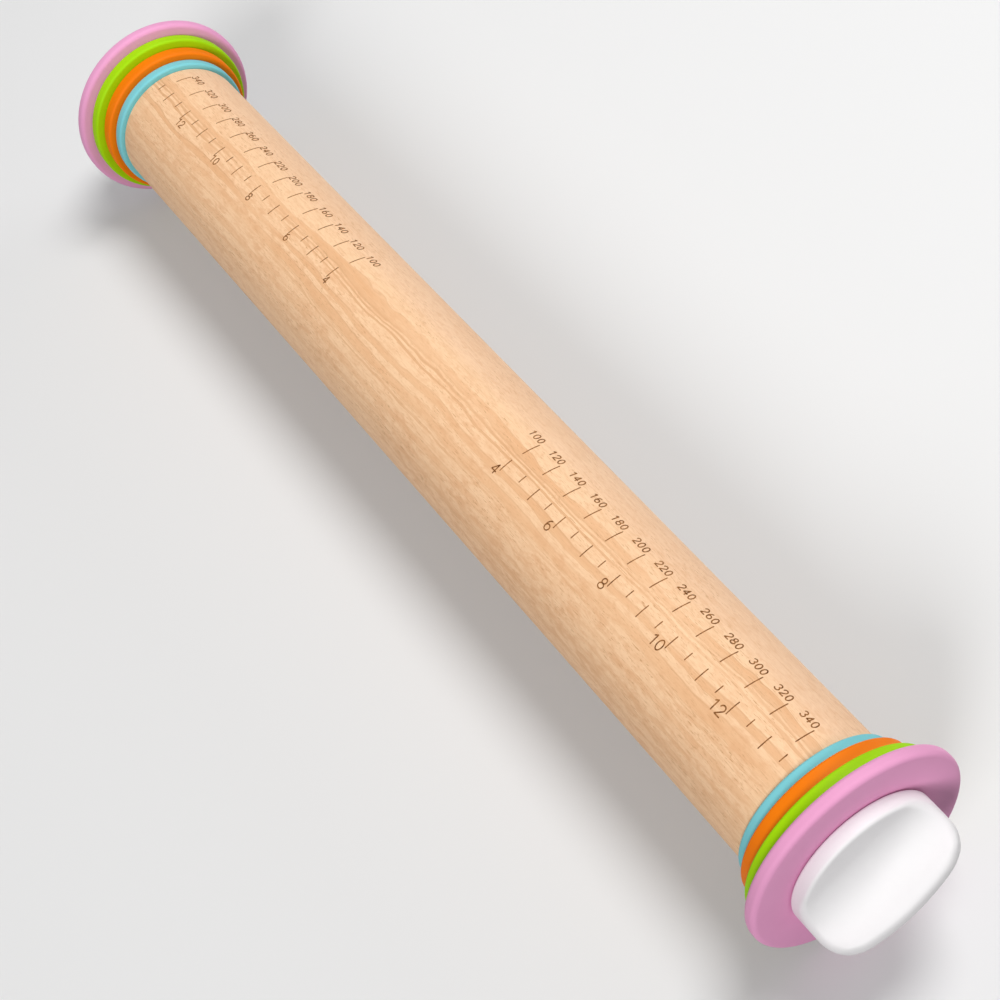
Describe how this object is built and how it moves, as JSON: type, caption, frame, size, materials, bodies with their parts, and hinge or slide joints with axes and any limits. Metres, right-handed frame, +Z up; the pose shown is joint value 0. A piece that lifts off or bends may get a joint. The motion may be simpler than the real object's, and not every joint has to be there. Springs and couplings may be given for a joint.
{
  "type": "adjustable rolling pin",
  "caption": "Beech rolling pin with stacked coloured thickness rings at each end, held on by screw-on pinch knobs that set the height of the barrel over the board.",
  "frame": {"origin": "middle of the barrel, on its axis", "axes": "+X along the barrel towards end a, +Z up, +Y to the left when looking along +X"},
  "size_m": [0.4268, 0.0648, 0.0648],
  "materials": {
    "beech": "fine sanded, unvarnished, engraved scale",
    "ring_blue": "satin",
    "ring_orange": "satin",
    "ring_green": "satin",
    "ring_pink": "satin",
    "grip_white": "soft gloss",
    "hub_white": "plain moulded",
    "bolt_steel": "bright zinc",
    "insert_brass": "turned"
  },
  "bodies": {
    "barrel_body": {"barrel": "beech", "insert_a": "insert_brass", "insert_b": "insert_brass"},
    "blue_a": {"ring_blue_a": "ring_blue"},
    "orange_a": {"ring_orange_a": "ring_orange"},
    "green_a": {"ring_green_a": "ring_green"},
    "pink_a": {"ring_pink_a": "ring_pink"},
    "knob_a": {"grip_a": "grip_white", "hub_a": "hub_white", "bolt_a": "bolt_steel"},
    "blue_b": {"ring_blue_b": "ring_blue"},
    "orange_b": {"ring_orange_b": "ring_orange"},
    "green_b": {"ring_green_b": "ring_green"},
    "pink_b": {"ring_pink_b": "ring_pink"},
    "knob_b": {"grip_b": "grip_white", "hub_b": "hub_white", "bolt_b": "bolt_steel"}
  },
  "joints": [
    {"name": "blue_slide_a", "type": "slide", "parent": "barrel_body", "child": "blue_a", "axis": [1, 0, 0], "range_m": [0, 0.00313]},
    {"name": "orange_slide_a", "type": "slide", "parent": "barrel_body", "child": "orange_a", "axis": [1, 0, 0], "range_m": [0, 0.00626]},
    {"name": "green_slide_a", "type": "slide", "parent": "barrel_body", "child": "green_a", "axis": [1, 0, 0], "range_m": [0, 0.00938]},
    {"name": "pink_slide_a", "type": "slide", "parent": "barrel_body", "child": "pink_a", "axis": [1, 0, 0], "range_m": [0, 0.01251]},
    {"name": "knob_turn_a", "type": "hinge", "parent": "pink_a", "child": "knob_a", "pos_m": [0.1932, 0, 0], "axis": [1, 0, 0], "range_deg": [0, 3600]},
    {"name": "blue_slide_b", "type": "slide", "parent": "barrel_body", "child": "blue_b", "axis": [-1, 0, 0], "range_m": [0, 0.00313]},
    {"name": "orange_slide_b", "type": "slide", "parent": "barrel_body", "child": "orange_b", "axis": [-1, 0, 0], "range_m": [0, 0.00626]},
    {"name": "green_slide_b", "type": "slide", "parent": "barrel_body", "child": "green_b", "axis": [-1, 0, 0], "range_m": [0, 0.00938]},
    {"name": "pink_slide_b", "type": "slide", "parent": "barrel_body", "child": "pink_b", "axis": [-1, 0, 0], "range_m": [0, 0.01251]},
    {"name": "knob_turn_b", "type": "hinge", "parent": "pink_b", "child": "knob_b", "pos_m": [-0.1932, 0, 0], "axis": [-1, 0, 0], "range_deg": [0, 3600]}
  ],
  "couplings": [
    {"joint": "pink_slide_a", "follows": "knob_turn_a", "m_per_rad": 0.00019894},
    {"joint": "green_slide_a", "follows": "knob_turn_a", "m_per_rad": 0.00014921},
    {"joint": "orange_slide_a", "follows": "knob_turn_a", "m_per_rad": 0.000099472},
    {"joint": "blue_slide_a", "follows": "knob_turn_a", "m_per_rad": 0.000049736},
    {"joint": "pink_slide_b", "follows": "knob_turn_b", "m_per_rad": 0.00019894},
    {"joint": "green_slide_b", "follows": "knob_turn_b", "m_per_rad": 0.00014921},
    {"joint": "orange_slide_b", "follows": "knob_turn_b", "m_per_rad": 0.000099472},
    {"joint": "blue_slide_b", "follows": "knob_turn_b", "m_per_rad": 0.000049736}
  ]
}
